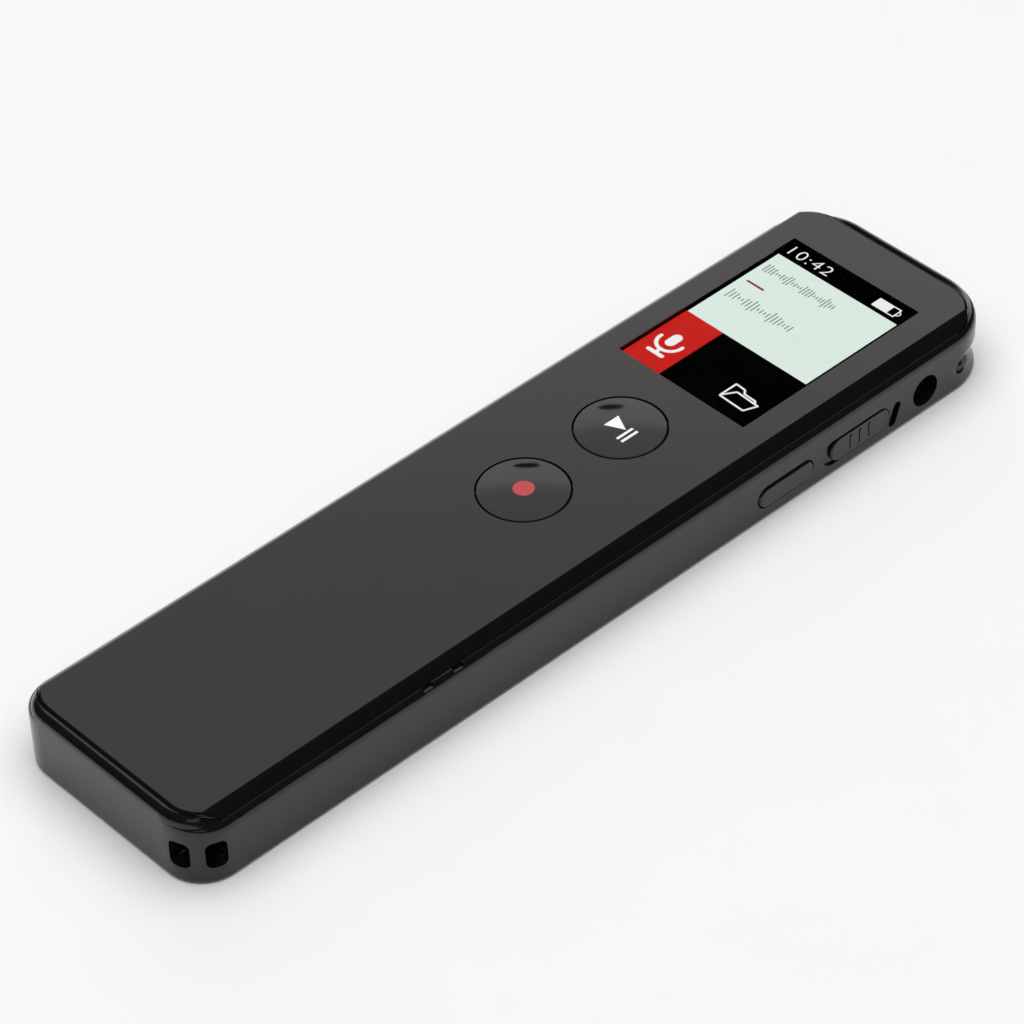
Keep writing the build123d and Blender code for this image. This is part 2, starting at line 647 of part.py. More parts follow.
# --------------------------------------------------------------- headphone jack
with BuildPart() as headphone_jack:
    jack_mid_z = (JACK_BODY_Z0 + JACK_BODY_Z1) / 2
    with BuildSketch(right_wall(jack_face_x, JACK_Y, jack_mid_z)):
        Rectangle(JACK_BODY_W, JACK_BODY_Z1 - JACK_BODY_Z0)
    extrude(amount=-JACK_LEN)
    with BuildSketch(right_wall(jack_face_x + 1, JACK_Y, JACK_Z)):
        Circle(JACK_BORE_R)
    extrude(amount=-(JACK_LEN + 1 - 0.8), mode=Mode.SUBTRACT)
    # three side windows for the contact springs
    for spring in range(3):
        with BuildSketch(Plane(origin=(jack_face_x - 3.2 - 3.4 * spring, JACK_Y, JACK_Z),
                               x_dir=(1, 0, 0), z_dir=(0, 1, 0))):
            Rectangle(1.6, 1.8)
        extrude(amount=JACK_BODY_W, mode=Mode.SUBTRACT)
finish(headphone_jack, "headphone_jack")

with BuildPart() as jack_contacts:
    for spring in range(3):
        contact_x = jack_face_x - 3.2 - 3.4 * spring
        with BuildSketch(level(JACK_Z - 0.6)):
            with BuildLine():
                Polyline((contact_x - 0.6, JACK_Y + JACK_BODY_W / 2 - 0.1),
                         (contact_x - 0.1, JACK_Y + JACK_BORE_R + 0.08),
                         (contact_x + 0.1, JACK_Y + JACK_BORE_R + 0.08),
                         (contact_x + 0.6, JACK_Y + JACK_BODY_W / 2 - 0.1),
                         (contact_x + 0.45, JACK_Y + JACK_BODY_W / 2 - 0.02),
                         (contact_x, JACK_Y + JACK_BORE_R + 0.28),
                         (contact_x - 0.45, JACK_Y + JACK_BODY_W / 2 - 0.02), close=True)
            make_face()
        extrude(amount=1.2)
finish(jack_contacts, "jack_contacts")

# ---------------------------------------------------------------- charging port
USB_W = 8.34
USB_H = 2.56
USB_LEN = 7.0
USB_WALL = 0.25
usb_face_x = -half_w + 0.5

with BuildPart() as usb_shell:
    with BuildSketch(left_wall(usb_face_x, USB_Y, SIDE_Z)):
        SlotOverall(USB_W + 2 * USB_WALL, USB_H + 2 * USB_WALL)
        SlotOverall(USB_W, USB_H, mode=Mode.SUBTRACT)
    extrude(amount=-USB_LEN)
finish(usb_shell, "usb_shell")

with BuildPart() as usb_tongue:
    with BuildSketch(left_wall(usb_face_x, USB_Y, SIDE_Z)):
        SlotOverall(USB_W - 0.04, USB_H - 0.04)
    extrude(amount=-USB_LEN)
    with BuildSketch(left_wall(usb_face_x, USB_Y, SIDE_Z)):
        SlotOverall(USB_W + 0.2, USB_H + 0.2)
    extrude(amount=-(USB_LEN - 1.4), mode=Mode.SUBTRACT)
    with BuildSketch(left_wall(usb_face_x, USB_Y, SIDE_Z)):
        RectangleRounded(6.7, 0.7, 0.3)
    extrude(amount=-USB_LEN)
finish(usb_tongue, "usb_tongue")

# ------------------------------------------------------------------ microphones
MIC_R = 1.5
MIC_T = 1.2
BOOT_WALL = 0.25
MIC_SINK = 0.4          # the nozzle's face lies this far below the wall
CAPSULE_Y = 47.35
CAPSULE_Z = 2.9
mic_face_x = cavity_half_w - 0.5


def both_sides():
    """Sketch planes on the two side walls at the microphone holes."""
    return (right_wall(mic_face_x, CAPSULE_Y, CAPSULE_Z),
            left_wall(-mic_face_x, CAPSULE_Y, CAPSULE_Z))


with BuildPart() as mic_boots:
    for plane in both_sides():
        with BuildSketch(plane):
            Circle(MIC_R + BOOT_WALL)
        extrude(amount=-(MIC_T + 0.5))
        # nozzle that fills the hole in the wall
        with BuildSketch(plane.offset(-0.1)):
            with Locations((plane.x_dir.Y * (MIC_Y - CAPSULE_Y), MIC_Z - CAPSULE_Z)):
                Circle(MIC_HOLE_R - FIT_GAP)
        extrude(amount=half_w - mic_face_x - MIC_SINK + 0.1)
        with BuildSketch(plane):
            Circle(0.8)
        extrude(amount=-3, mode=Mode.SUBTRACT)
        with BuildSketch(plane.offset(-0.2)):
            with Locations((plane.x_dir.Y * (MIC_Y - CAPSULE_Y), MIC_Z - CAPSULE_Z)):
                Circle(0.3)
        extrude(amount=3, mode=Mode.SUBTRACT)
        with BuildSketch(plane.offset(-0.4)):
            Circle(MIC_R + 0.02)
        extrude(amount=-3, mode=Mode.SUBTRACT)
finish(mic_boots, "mic_boots")

with BuildPart() as microphones:
    for plane in both_sides():
        with BuildSketch(plane.offset(-0.42)):
            Circle(MIC_R)
        extrude(amount=-MIC_T)
        with BuildSketch(plane.offset(-0.42)):
            Circle(0.4)
        extrude(amount=-0.3, mode=Mode.SUBTRACT)
finish(microphones, "microphones")

# ---------------------------------------------------------------- circuit board
with BuildPart() as main_board:
    with BuildSketch(level(pcb_bottom)):
        with Locations((0, (PCB_Y0 + PCB_Y1) / 2)):
            RectangleRounded(2 * PCB_HALF_W, PCB_Y1 - PCB_Y0, 1.5)
        with Locations(*SCREW_SPOTS):
            Circle(0.85, mode=Mode.SUBTRACT)
        # cut-out where the headphone jack sinks into the board
        with Locations((jack_face_x - JACK_LEN / 2 + 0.5, JACK_Y)):
            Rectangle(JACK_LEN + 1.2, JACK_BODY_W + 0.2, mode=Mode.SUBTRACT)
        # notches that clear the microphones
        with Locations((PCB_HALF_W, CAPSULE_Y), (-PCB_HALF_W, CAPSULE_Y)):
            Rectangle(4.4, 5.0, mode=Mode.SUBTRACT)
        # cut-out round the charging port
        with Locations((-PCB_HALF_W, USB_Y)):
            Rectangle(2 * (PCB_HALF_W + usb_face_x + USB_LEN + 0.2), USB_W + 2 * USB_WALL + 0.3,
                      mode=Mode.SUBTRACT)
        # notches that clear the inner ends of the side keys and of the slide
        with Locations((PCB_HALF_W, SIDE_KEY_Y), (-PCB_HALF_W, LEFT_KEYS_Y[0]),
                       (-PCB_HALF_W, LEFT_KEYS_Y[1])):
            Rectangle(1.8, KEY_LEN + 2.2, mode=Mode.SUBTRACT)
    extrude(amount=PCB_T)
finish(main_board, "main_board")


def chip_group(name, blocks, bottom):
    """Rectangular components: each block is (x, y, width, length, height)."""
    with BuildPart() as chips:
        for x, y, wide, long, high in blocks:
            base = bottom if high > 0 else pcb_bottom - EPS
            with BuildSketch(level(base, x, y)):
                Rectangle(wide, long)
            extrude(amount=high)
    finish(chips, name)


chip_group("processor", [(-2.5, 25.5, 7.0, 7.0, -0.9)], PCB_TOP)
chip_group("memory_chip", [(2.2, 7.0, 9.0, 11.5, -1.0)], PCB_TOP)
chip_group("audio_codec", [(-3.0, 34.0, 4.0, 4.0, -0.8)], PCB_TOP)
chip_group("charger_chip", [(-7.2, 7.0, 3.0, 3.0, -0.9)], PCB_TOP)
chip_group("crystal", [(3.4, 26.5, 3.2, 2.5, -0.7)], PCB_TOP)

PASSIVE_COLUMNS = 4
PASSIVE_ROWS = 4
passives = []
for column in range(PASSIVE_COLUMNS):
    for row in range(PASSIVE_ROWS):
        passives.append((-6.4 + 1.7 * column, 14.6 + 1.5 * row, 0.6, 1.0, -0.5))
chip_group("small_parts", passives[2:], PCB_TOP)

SCREW_HEAD_R = 1.3
with BuildPart() as board_screws:
    with BuildSketch(level(PCB_TOP + EPS)):
        with Locations(*SCREW_SPOTS):
            Circle(SCREW_HEAD_R)
    extrude(amount=0.6)
    with BuildSketch(level(PCB_TOP + EPS)):
        with Locations(*SCREW_SPOTS):
            Circle(SCREW_HOLE_R - 0.02)
    extrude(amount=-3.4)
    with BuildSketch(level(PCB_TOP + EPS + 0.25)):
        with Locations(*SCREW_SPOTS):
            Rectangle(1.6, 0.28)
            Rectangle(0.28, 1.6)
    extrude(amount=1, mode=Mode.SUBTRACT)
finish(board_screws, "board_screws")

# ---------------------------------------------------------------------- battery
BATTERY_W = 17.0
BATTERY_Y0 = -38.0
BATTERY_Y1 = -10.4
BATTERY_T = 5.4
BATTERY_TAPE_T = 0.2
battery_z = BACK_WALL + BATTERY_TAPE_T + 2 * EPS
battery_len = BATTERY_Y1 - BATTERY_Y0
battery_mid_y = (BATTERY_Y0 + BATTERY_Y1) / 2

with BuildPart() as battery_cell:
    with BuildSketch(level(battery_z, y=battery_mid_y)):
        RectangleRounded(BATTERY_W, battery_len, 1.2)
    extrude(amount=BATTERY_T)
    fillet(battery_cell.edges().filter_by(Plane.XY), 0.6)
finish(battery_cell, "battery_cell")

with BuildPart() as battery_tape:
    with BuildSketch(level(BACK_WALL + EPS, y=battery_mid_y)):
        RectangleRounded(BATTERY_W - 3, battery_len - 4, 0.8)
    extrude(amount=BATTERY_TAPE_T)
finish(battery_tape, "battery_tape")

BMS_L = 2.0
with BuildPart() as battery_board:
    with BuildSketch(level(battery_z + 1.6, y=BATTERY_Y1 + EPS + BMS_L / 2)):
        Rectangle(BATTERY_W - 3, BMS_L)
    extrude(amount=1.8)
finish(battery_board, "battery_board")

LEAD_R = 0.32
lead_z = battery_z + 2.5
lead_end_z = pcb_bottom - LEAD_R - 0.05


def battery_lead(name, x, end_x):
    """A lead from the protection board to its pad under the main board."""
    with BuildPart() as lead:
        with BuildLine():
            FilletPolyline((x, BATTERY_Y1 + BMS_L + 2 * EPS, lead_z), (x, PCB_Y0 - 0.4, lead_z),
                           (end_x, PCB_Y0 + 2.6, lead_end_z), (end_x, PCB_Y0 + 4.4, lead_end_z),
                           radius=0.8)
        with BuildSketch(Plane(origin=(x, BATTERY_Y1 + BMS_L + 2 * EPS, lead_z),
                               x_dir=(1, 0, 0), z_dir=(0, 1, 0))):
            Circle(LEAD_R)
        sweep()
    finish(lead, name)


battery_lead("battery_lead_red", 2.2, 3.0)
battery_lead("battery_lead_black", 0.6, 0.6)

# ---------------------------------------------------------------------- speaker
SPEAKER_W = 15.0
SPEAKER_L = 10.0
SPEAKER_T = 3.2
GASKET_T = 0.5
speaker_z = BACK_WALL + GASKET_T + 2 * EPS

with BuildPart() as speaker_gasket:
    with BuildSketch(level(BACK_WALL + EPS, SPEAKER_X, SPEAKER_Y)):
        RectangleRounded(SPEAKER_W, SPEAKER_L, 1.6)
        RectangleRounded(SPEAKER_W - 2.2, SPEAKER_L - 2.2, 1.0, mode=Mode.SUBTRACT)
    extrude(amount=GASKET_T)
finish(speaker_gasket, "speaker_gasket")

with BuildPart() as speaker:
    with BuildSketch(level(speaker_z, SPEAKER_X, SPEAKER_Y)):
        RectangleRounded(SPEAKER_W, SPEAKER_L, 1.6)
    extrude(amount=SPEAKER_T)
    with BuildSketch(level(speaker_z, SPEAKER_X, SPEAKER_Y)):
        RectangleRounded(SPEAKER_W - 2.2, SPEAKER_L - 2.2, 1.0)
    extrude(amount=0.5, mode=Mode.SUBTRACT)
finish(speaker, "speaker")
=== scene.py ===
# Handheld voice recorder: materials of the CAD nodes, picture on the display, light, camera.
import json
import math

import bpy
from mathutils import Matrix, Vector


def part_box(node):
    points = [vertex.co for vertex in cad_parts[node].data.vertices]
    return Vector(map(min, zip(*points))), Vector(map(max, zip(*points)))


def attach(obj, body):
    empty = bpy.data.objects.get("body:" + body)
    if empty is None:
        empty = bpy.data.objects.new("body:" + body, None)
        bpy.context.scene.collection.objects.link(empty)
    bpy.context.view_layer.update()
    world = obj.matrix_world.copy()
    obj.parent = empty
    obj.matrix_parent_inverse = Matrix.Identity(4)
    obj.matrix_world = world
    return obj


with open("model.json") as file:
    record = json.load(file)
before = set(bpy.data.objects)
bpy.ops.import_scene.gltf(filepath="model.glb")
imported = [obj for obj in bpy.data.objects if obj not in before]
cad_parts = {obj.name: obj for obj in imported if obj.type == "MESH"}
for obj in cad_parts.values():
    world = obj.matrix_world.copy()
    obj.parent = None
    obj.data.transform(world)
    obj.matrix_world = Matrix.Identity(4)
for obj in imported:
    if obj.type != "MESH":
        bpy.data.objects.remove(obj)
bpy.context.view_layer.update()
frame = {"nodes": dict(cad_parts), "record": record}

MM = 0.001


def box_mm(node):
    """Lowest and highest corner of a CAD node, in millimetres."""
    low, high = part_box(node)
    return low / MM, high / MM


def mesh_object(name, points, polygons, shader):
    """A new object in the scene from its points (in metres), its polygons and its material."""
    mesh = bpy.data.meshes.new(name)
    mesh.from_pydata([tuple(point) for point in points], [], polygons)
    mesh.materials.append(shader.mat)
    made = bpy.data.objects.new(name, mesh)
    bpy.context.scene.collection.objects.link(made)
    return made


def grid_polygons(columns, rows):
    """Quads between points that are listed row by row."""
    wide = columns + 1
    return [(j * wide + i, j * wide + i + 1, (j + 1) * wide + i + 1, (j + 1) * wide + i)
            for j in range(rows) for i in range(columns)]


# ---------------------------------------------------------------- node helpers
class Shader:
    """Builds a node tree for one material and wires it into a Principled shader."""

    def __init__(self, name):
        self.mat = bpy.data.materials.new(name)
        self.mat.use_nodes = True
        self.tree = self.mat.node_tree
        self.bsdf = self.tree.nodes["Principled BSDF"]
        self.coord = self.tree.nodes.new("ShaderNodeTexCoord")

    def feed(self, socket, value):
        """Link another socket to this one, or set this one's own value."""
        if isinstance(value, bpy.types.NodeSocket):
            self.tree.links.new(value, socket)
        else:
            socket.default_value = value

    def node(self, kind, **inputs):
        made = self.tree.nodes.new(kind)
        for key, value in inputs.items():
            self.feed(made.inputs[key.replace("_", " ")], value)
        return made

    def set(self, **inputs):
        for key, value in inputs.items():
            self.feed(self.bsdf.inputs[key.replace("_", " ")], value)

    def noise(self, scale, detail, rough=0.5, stretch=(1, 1, 1)):
        mapping = self.node("ShaderNodeMapping", Vector=self.coord.outputs["Object"],
                            Scale=stretch)
        found = self.node("ShaderNodeTexNoise", Vector=mapping.outputs["Vector"], Scale=scale,
                          Detail=detail, Roughness=rough)
        return found.outputs["Fac"]

    def scaled(self, value, low, high, start=0.3, end=0.7):
        """The value's range from start to end (by default noise's usual one) as low to high."""
        found = self.node("ShaderNodeMapRange", Value=value, From_Min=start, From_Max=end,
                          To_Min=low, To_Max=high)
        return found.outputs["Result"]

    def mixed(self, factor, first, second):
        found = self.tree.nodes.new("ShaderNodeMix")
        found.data_type = "RGBA"
        self.feed(found.inputs["Factor"], factor)
        self.feed(found.inputs["A"], first)
        self.feed(found.inputs["B"], second)
        return found.outputs["Result"]

    def bump(self, height, strength, distance):
        found = self.node("ShaderNodeBump", Height=height, Strength=strength,
                          Distance=distance)
        self.set(Normal=found.outputs["Normal"])


def rgb(red, green, blue):
    return (red, green, blue, 1.0)


def gloss(name, dark, light, rough, specular=0.5):
    """Moulded plastic: faint mottling, uneven polish and a very fine surface grain."""
    shader = Shader(name)
    cloud = shader.noise(scale=180.0, detail=4.0)
    shader.set(Base_Color=shader.mixed(cloud, dark, light),
               Roughness=shader.scaled(cloud, rough - 0.02, rough + 0.02),
               IOR=1.5, Specular_IOR_Level=specular)
    shader.bump(shader.noise(scale=9000.0, detail=2.0), strength=0.25, distance=0.002 * MM)
    return shader


def metal(name, dark, light, rough, stretch=(1, 1, 1), scale=4000.0):
    """Metal with fine streaks or grain in colour, roughness and height."""
    shader = Shader(name)
    streaks = shader.noise(scale, detail=4.0, rough=0.6, stretch=stretch)
    shader.set(Base_Color=shader.mixed(streaks, dark, light), Metallic=1.0,
               Roughness=shader.scaled(streaks, rough * 0.8, rough * 1.25))
    shader.bump(streaks, strength=0.2, distance=0.01 * MM)
    return shader


def soft_part(name, dark, light, rough, scale=2500.0, depth=0.02 * MM):
    """Matt moulding, rubber or film with a visible grain."""
    shader = Shader(name)
    grain = shader.noise(scale, detail=5.0, rough=0.6)
    shader.set(Base_Color=shader.mixed(grain, dark, light),
               Roughness=shader.scaled(grain, rough - 0.08, rough + 0.08))
    shader.bump(grain, strength=0.35, distance=depth)
    return shader


def lit(name, colour):
    """A lit area of the display: it glows by itself and is faintly uneven."""
    shader = Shader(name)
    cloud = shader.noise(scale=900.0, detail=2.0)
    shade = rgb(*(0.94 * part for part in colour[:3]))
    shader.set(Base_Color=rgb(0.01, 0.01, 0.01), Roughness=0.5, Specular_IOR_Level=0.0,
               Emission_Color=shader.mixed(cloud, shade, colour), Emission_Strength=1.0)
    return shader


def board_material():
    """Green solder mask with faint copper tracks showing through."""
    shader = Shader("board_green")
    tracks = shader.node("ShaderNodeTexBrick", Vector=shader.coord.outputs["Object"],
                         Color1=rgb(0.012, 0.11, 0.035), Color2=rgb(0.014, 0.13, 0.045),
                         Mortar=rgb(0.03, 0.19, 0.06), Scale=420.0, Mortar_Size=0.03)
    shader.set(Base_Color=tracks.outputs["Color"], Roughness=0.35)
    shader.bump(shader.noise(scale=1500.0, detail=3.0), strength=0.3, distance=0.01 * MM)
    return shader


def window_material():
    """Clear window with a trace of haze; an index near air's leaves it without reflections."""
    shader = Shader("window_clear")
    haze = shader.noise(scale=300.0, detail=3.0)
    shader.set(Base_Color=shader.mixed(haze, rgb(0.97, 0.98, 0.98), rgb(1.0, 1.0, 1.0)),
               Transmission_Weight=1.0, IOR=1.02, Roughness=shader.scaled(haze, 0.0, 0.01))
    return shader


# ------------------------------------------------------------------- materials
BLACK = rgb(0.0035, 0.0034, 0.0035)
BLACK_LIGHT = rgb(0.0055, 0.0053, 0.0053)

# record slot: kind of material, darker and lighter colour, roughness, that kind's options
RECIPES = {
    "shell_black": (gloss, BLACK, rgb(0.007, 0.0062, 0.0062), 0.16),
    "cover_black": (gloss, BLACK, BLACK_LIGHT, 0.05),
    "cap_black": (gloss, BLACK, BLACK_LIGHT, 0.05),
    "lcd_glass": (gloss, rgb(0.0002, 0.0002, 0.0003), rgb(0.0006, 0.0006, 0.0008), 0.4, 0.0),
    "mark_red": (gloss, rgb(0.42, 0.03, 0.04), rgb(0.5, 0.045, 0.055), 0.25),
    "mark_white": (gloss, rgb(0.8, 0.8, 0.8), rgb(0.88, 0.88, 0.88), 0.25),
    "white_plastic": (soft_part, rgb(0.7, 0.7, 0.68), rgb(0.8, 0.8, 0.78), 0.5),
    "silicone": (soft_part, rgb(0.03, 0.03, 0.032), rgb(0.045, 0.045, 0.047), 0.6),
    "chip": (soft_part, rgb(0.018, 0.018, 0.019), rgb(0.035, 0.035, 0.036), 0.5),
    "steel": (metal, rgb(0.5, 0.5, 0.51), rgb(0.66, 0.66, 0.66), 0.3, (1, 6, 1)),
    "gold": (metal, rgb(0.7, 0.5, 0.2), rgb(0.85, 0.65, 0.3), 0.28),
    "jack_plastic": (soft_part, rgb(0.008, 0.008, 0.008), rgb(0.02, 0.02, 0.02), 0.4),
    "foil": (metal, rgb(0.6, 0.6, 0.61), rgb(0.76, 0.76, 0.76), 0.38, (1, 1, 1), 900.0),
    "tape": (soft_part, rgb(0.015, 0.015, 0.015), rgb(0.03, 0.03, 0.03), 0.7),
    "wire_red": (soft_part, rgb(0.5, 0.02, 0.02), rgb(0.62, 0.04, 0.03), 0.45),
    "wire_black": (soft_part, rgb(0.012, 0.012, 0.012), rgb(0.025, 0.025, 0.025), 0.45),
    "amber_film": (soft_part, rgb(0.34, 0.14, 0.02), rgb(0.46, 0.21, 0.04), 0.35),
}
paint = {slot: kind(slot, *options) for slot, (kind, *options) in RECIPES.items()}
paint["board"] = board_material()
paint["window"] = window_material()

for row in frame["record"]["subparts"]:
    node_mesh = frame["nodes"][row["node"]].data
    node_mesh.materials.clear()
    node_mesh.materials.append(paint[row["material_slot"]].mat)


# --------------------------------------------------------------------- display
# The picture lies between the display panel and its window.  All its measures are in
# millimetres in the frame, and its signs lie just above its two coloured areas.
panel_high = box_mm("display_panel")[1]
window_low, window_high = box_mm("display_window")
AREA_Z = (panel_high.z + window_low.z) / 2
SIGN_Z = AREA_Z + 0.0012

green_ink = lit("ink_green", rgb(0.72, 0.84, 0.765))
white_ink = lit("ink_white", rgb(0.86, 0.87, 0.86))
grey_ink = lit("ink_grey", rgb(0.20, 0.24, 0.22))
red_ink = lit("ink_red", rgb(0.56, 0.006, 0.002))
dash_ink = lit("ink_dash", rgb(0.28, 0.03, 0.03))


def picture_piece(name, outlines, ink, z=SIGN_Z):
    """A flat piece of the displayed picture, from closed outlines in millimetres."""
    points, polygons = [], []
    for outline in outlines:
        polygons.append(list(range(len(points), len(points) + len(outline))))
        points += [Vector((x, y, z)) * MM for x, y in outline]
    made = mesh_object(name, points, polygons, ink)
    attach(made, "housing")


def rectangle(x0, y0, x1, y1):
    return [(x0, y0), (x1, y0), (x1, y1), (x0, y1)]


def arc(x, y, radius, start, end, steps):
    """Points along an arc between two angles in degrees, both ends included."""
    turns = [math.radians(start + (end - start) * k / steps) for k in range(steps + 1)]
    return [(x + radius * math.cos(turn), y + radius * math.sin(turn)) for turn in turns]


def circle(x, y, radius, steps):
    return arc(x, y, radius, 0, 360, steps)[:-1]


def capsule(x, y, wide, high):
    """Upright pill outline."""
    lift = (high - wide) / 2
    return arc(x, y + lift, wide / 2, 0, 180, 10) + arc(x, y - lift, wide / 2, 180, 360, 10)


def bar(a, b, width):
    """Square-ended stroke between two points."""
    (ax, ay), (bx, by) = a, b
    length = math.hypot(bx - ax, by - ay)
    nx, ny = (ay - by) / length * width / 2, (bx - ax) / length * width / 2
    return [(ax + nx, ay + ny), (ax - nx, ay - ny), (bx - nx, by - ny), (bx + nx, by + ny)]


def stroke(points, width):
    """Outlines of a line through points, with round joints and ends."""
    return ([bar(a, b, width) for a, b in zip(points, points[1:])]
            + [circle(x, y, width / 2, 14) for x, y in points])


# pale panel, red tile and the dash on the panel
PANEL_X0, PANEL_X1 = window_low.x + 0.25, window_high.x - 0.55
PANEL_Y0, PANEL_Y1 = 30.5, 43.75
TILE_X0, TILE_X1 = window_low.x + 0.12, -3.6
TILE_Y0 = window_low.y + 0.15
DASH = (-7.88, 38.15, -5.5, 38.45)
picture_piece("picture_panel", [rectangle(PANEL_X0, PANEL_Y0, PANEL_X1, PANEL_Y1)],
              green_ink, AREA_Z)
picture_piece("picture_tile", [rectangle(TILE_X0, TILE_Y0, TILE_X1, PANEL_Y0)],
              red_ink, AREA_Z)
picture_piece("picture_dash", [rectangle(*DASH)], dash_ink)

# battery sign: outline, tip and charge; it stands on one line with the clock
TOP_LINE_Y = 44.42
BATTERY_X0, BATTERY_X1, BATTERY_Y1 = 3.9, 6.75, 45.72
CHARGE_X1 = BATTERY_X0 + 1.95
corners = rectangle(BATTERY_X0, TOP_LINE_Y, BATTERY_X1, BATTERY_Y1)
tip = arc(BATTERY_X1 + 0.02, (TOP_LINE_Y + BATTERY_Y1) / 2, 0.36, -70, 70, 8)
picture_piece("picture_battery",
              stroke(corners + corners[:1], 0.16) + stroke(tip, 0.13)
              + [rectangle(BATTERY_X0, TOP_LINE_Y, CHARGE_X1, BATTERY_Y1)], white_ink)

# microphone sign: capsule, cradle, stem and foot
MIC_X = -6.3
MIC_CAPSULE_Y, MIC_CRADLE_Y, MIC_STEM_Y, MIC_FOOT_Y = 26.15, 25.75, 24.3, 23.5
MIC_FOOT_HALF = 0.95
picture_piece("picture_microphone",
              [capsule(MIC_X, MIC_CAPSULE_Y, 1.17, 2.1)]
              + stroke(arc(MIC_X, MIC_CRADLE_Y, 1.5, 175, 365, 16), 0.42)
              + stroke([(MIC_X, MIC_STEM_Y), (MIC_X, MIC_FOOT_Y)], 0.45)
              + stroke([(MIC_X - MIC_FOOT_HALF, MIC_FOOT_Y),
                        (MIC_X + MIC_FOOT_HALF, MIC_FOOT_Y)], 0.5), white_ink)

# open folder sign: its back with a tab, and its front
FOLDER_BACK = [(3.03, 23.45), (3.03, 25.68), (4.3, 25.6), (4.68, 25.12), (6.25, 25.06),
               (6.45, 24.72)]
FOLDER_FRONT = [(3.03, 23.35), (3.95, 24.84), (6.95, 24.68), (6.35, 23.18), (3.1, 23.28)]
FOLDER_LINE = 0.22
picture_piece("picture_folder",
              stroke(FOLDER_BACK, FOLDER_LINE) + stroke(FOLDER_FRONT, FOLDER_LINE), white_ink)


def sound_wave(name, x0, x1, y, high, count, phase):
    """A row of thin upright bars, as a recorder draws a sound level."""
    bars = []
    for k in range(count):
        x = x0 + k * (x1 - x0) / (count - 1)
        swell = 0.45 + 0.35 * math.sin(0.9 * k + phase) + 0.2 * math.sin(2.3 * k + 2 * phase)
        half = high / 2 * max(0.18, swell)
        bars += stroke([(x, y - half), (x, y + half)], 0.15)
    picture_piece(name, bars, grey_ink)


sound_wave("picture_wave_one", x0=-7.95, x1=1.5, y=41.2, high=1.7, count=26, phase=0.4)
sound_wave("picture_wave_two", x0=-7.75, x1=0.8, y=35.65, high=2.0, count=20, phase=1.7)

# clock digits: a text turned into a mesh, which is then fitted into a rectangle
CLOCK_X0, CLOCK_X1, CLOCK_Y1 = -8.15, -2.55, 45.92
clock = bpy.data.curves.new("picture_clock", "FONT")
clock.body = "10:42"
clock.size = 2.1 * MM
clock.offset = -0.022 * MM
clock.resolution_u = 4
clock.space_character = 1.12
clock_text = bpy.data.objects.new("picture_clock_text", clock)
bpy.context.scene.collection.objects.link(clock_text)
bpy.context.view_layer.update()
depsgraph = bpy.context.evaluated_depsgraph_get()
clock_mesh = bpy.data.meshes.new_from_object(clock_text.evaluated_get(depsgraph))
bpy.data.objects.remove(clock_text)
across = [vertex.co.x for vertex in clock_mesh.vertices]
upward = [vertex.co.y for vertex in clock_mesh.vertices]
x_scale = (CLOCK_X1 - CLOCK_X0) / (max(across) - min(across))
y_scale = (CLOCK_Y1 - TOP_LINE_Y) / (max(upward) - min(upward))
for vertex, x, y in zip(clock_mesh.vertices, across, upward):
    vertex.co = Vector((CLOCK_X0 + (x - min(across)) * x_scale,
                        TOP_LINE_Y + (y - min(upward)) * y_scale, SIGN_Z)) * MM
clock_mesh.materials.clear()
clock_mesh.materials.append(white_ink.mat)
clock_digits = bpy.data.objects.new("picture_clock", clock_mesh)
bpy.context.scene.collection.objects.link(clock_digits)
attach(clock_digits, "housing")


# ----------------------------------------------------------------------- stage
FLOOR_SIZE = 3.0
FLOOR_STEPS = 12
FLOOR_Z = -0.02 * MM        # just below the recorder's back

floor_lines = [FLOOR_SIZE * (k / FLOOR_STEPS - 0.5) for k in range(FLOOR_STEPS + 1)]
floor = mesh_object("floor", [(x, y, FLOOR_Z) for y in floor_lines for x in floor_lines],
                    grid_polygons(FLOOR_STEPS, FLOOR_STEPS),
                    soft_part("floor_white", rgb(0.84, 0.84, 0.84), rgb(0.86, 0.86, 0.86),
                              rough=0.9, scale=60.0, depth=0.1 * MM))


def direction(bearing, rise):
    """Unit vector: bearing in degrees from +Y towards -X, rise above the horizon."""
    bearing, rise = math.radians(bearing), math.radians(rise)
    return Vector((-math.sin(bearing) * math.cos(rise), math.cos(bearing) * math.cos(rise),
                   math.sin(rise)))


# The gloss face mirrors a curved white card far behind the recorder.  The card narrows
# towards its top, falls towards its far edge, and its near edge wraps forward from
# CARD_WRAP_FROM of its height.  It is brighter below than above.
CARD_DISTANCE = 1.2
CARD_COLUMNS, CARD_ROWS = 16, 24
CARD_START, CARD_END = 41.5, 100.0          # bearings of its side edges, in degrees
CARD_WRAP, CARD_TAPER = 8.5, 30.0           # how far these edges move further up
CARD_WRAP_FROM, CARD_WRAP_OVER = 0.44, 0.16
CARD_FOOT, CARD_HIGH, CARD_DROP = -1.0, 63.0, 12.0      # rises, in degrees
CARD_BELOW, CARD_ABOVE = 1.34, 0.93         # radiances
CARD_BELOW_Z, CARD_ABOVE_Z = 0.735, 0.805   # they blend between these heights, in metres

card_points = []
for j in range(CARD_ROWS + 1):
    share = j / CARD_ROWS
    wrap = CARD_WRAP * min(1.0, max(0.0, (share - CARD_WRAP_FROM) / CARD_WRAP_OVER))
    start, end = CARD_START - wrap, CARD_END - CARD_TAPER * share
    for i in range(CARD_COLUMNS + 1):
        along = i / CARD_COLUMNS
        rise = CARD_FOOT + share * (CARD_HIGH - CARD_DROP * along)
        card_points.append(CARD_DISTANCE * direction(start + (end - start) * along, rise))

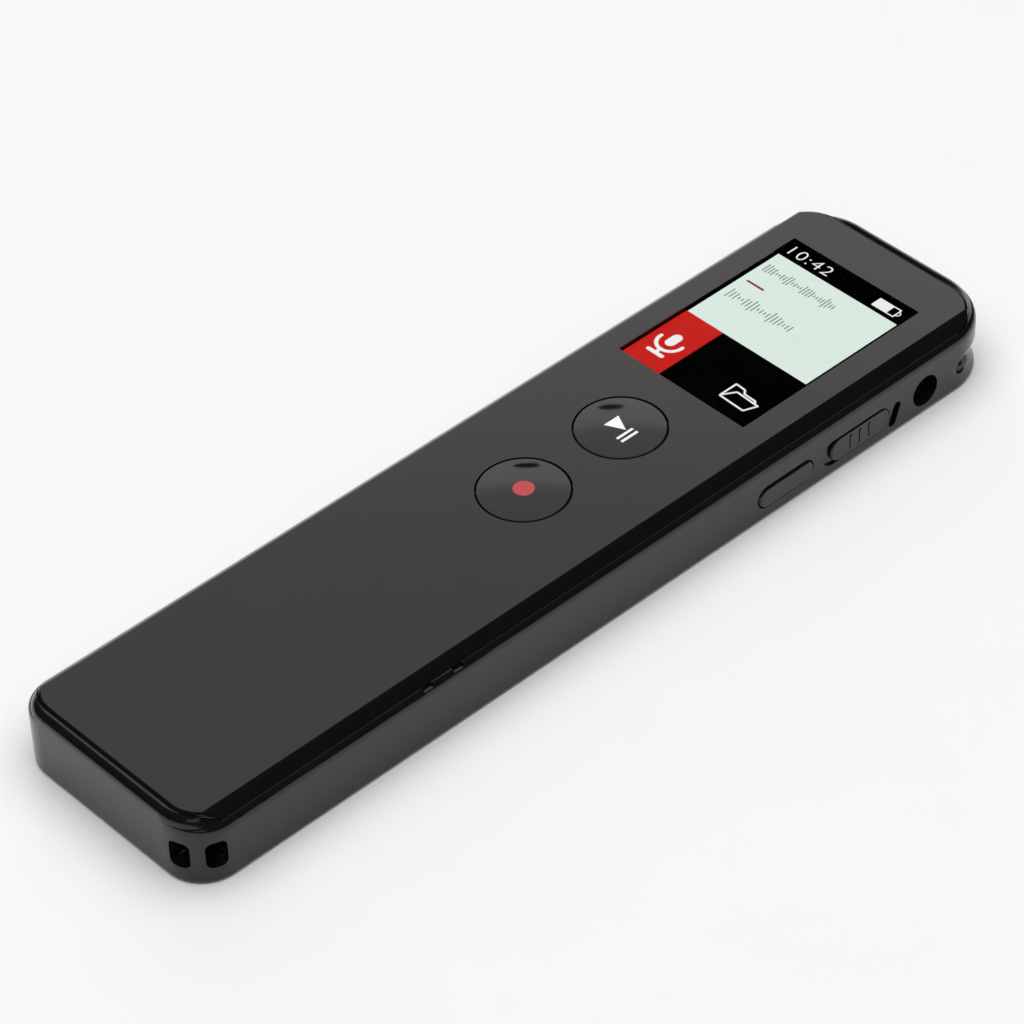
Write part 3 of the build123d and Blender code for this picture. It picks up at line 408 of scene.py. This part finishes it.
card_light = Shader("glow_card")
place_on_card = card_light.node("ShaderNodeSeparateXYZ",
                                Vector=card_light.coord.outputs["Object"])
card_light.set(Base_Color=rgb(0, 0, 0), Specular_IOR_Level=0.0,
               Emission_Color=rgb(1, 0.955, 0.96),
               Emission_Strength=card_light.scaled(place_on_card.outputs["Z"], CARD_BELOW,
                                                   CARD_ABOVE, CARD_BELOW_Z, CARD_ABOVE_Z))
card = mesh_object("glow_card", card_points, grid_polygons(CARD_COLUMNS, CARD_ROWS), card_light)

# A small oval black flag hangs in front of the card; the domes of the buttons mirror it.
FLAG_DISTANCE = 1.1
FLAG_BEARING, FLAG_RISE = 47.4, 32.6        # degrees
FLAG_WIDE, FLAG_HIGH = 5.0, 2.1             # degrees
FLAG_CORNERS = 24
flag_points = [FLAG_DISTANCE * direction(FLAG_BEARING + FLAG_WIDE * x, FLAG_RISE + FLAG_HIGH * y)
               for x, y in circle(0, 0, 0.5, FLAG_CORNERS)]
flag = mesh_object("dark_flag", flag_points, [list(range(FLAG_CORNERS))],
                   soft_part("dark_flag", rgb(0.01, 0.01, 0.01), rgb(0.015, 0.015, 0.015),
                             rough=0.9))


def softbox(name, towards, distance, size_x, size_y, radiance, mirrored=True):
    """Rectangular soft light aimed at the recorder; radiance sets how bright its face is."""
    light = bpy.data.lights.new(name, "AREA")
    light.shape = "RECTANGLE"
    light.size, light.size_y = size_x, size_y
    light.energy = radiance * math.pi * size_x * size_y
    made = bpy.data.objects.new(name, light)
    bpy.context.scene.collection.objects.link(made)
    made.location = towards.normalized() * distance
    made.rotation_euler = towards.to_track_quat("Z", "Y").to_euler()
    made.visible_glossy = mirrored


softbox("front_panel", direction(230, 30), distance=1.2, size_x=0.5, size_y=0.35, radiance=0.8)
softbox("overhead", Vector((0.05, -0.05, 1.0)), distance=1.0, size_x=1.6, size_y=1.6,
        radiance=2.25, mirrored=False)

world = bpy.data.worlds.new("studio")
world.use_nodes = True
background = world.node_tree.nodes["Background"]
background.inputs["Color"].default_value = rgb(1.0, 1.0, 1.0)
background.inputs["Strength"].default_value = 0.03
bpy.context.scene.world = world
bpy.context.scene.view_settings.view_transform = "Standard"

# ---------------------------------------------------------------------- camera
CAMERA_AZIMUTH = math.radians(48.27)        # from -Y towards +X
CAMERA_ELEVATION = math.radians(41.37)
CAMERA_ROLL = math.radians(-2.25)
CAMERA_DISTANCE = 0.413
CAMERA_TARGET = Vector((0.24, -2.45, 6.42)) * MM
CAMERA_LENS, CAMERA_SENSOR = 149.9, 36.0
CAMERA_CLIP = 0.01

back = Vector((math.sin(CAMERA_AZIMUTH) * math.cos(CAMERA_ELEVATION),
               -math.cos(CAMERA_AZIMUTH) * math.cos(CAMERA_ELEVATION),
               math.sin(CAMERA_ELEVATION)))
level_right = Vector((math.cos(CAMERA_AZIMUTH), math.sin(CAMERA_AZIMUTH), 0))
level_up = back.cross(level_right)
right = math.cos(CAMERA_ROLL) * level_right + math.sin(CAMERA_ROLL) * level_up
up = math.cos(CAMERA_ROLL) * level_up - math.sin(CAMERA_ROLL) * level_right
camera_data = bpy.data.cameras.new("camera")
camera_data.lens = CAMERA_LENS
camera_data.sensor_width = CAMERA_SENSOR
camera_data.clip_start = CAMERA_CLIP
camera = bpy.data.objects.new("camera", camera_data)
bpy.context.scene.collection.objects.link(camera)
place = Matrix((right, up, back)).transposed().to_4x4()
place.translation = CAMERA_TARGET + back * CAMERA_DISTANCE
camera.matrix_world = place
bpy.context.scene.camera = camera
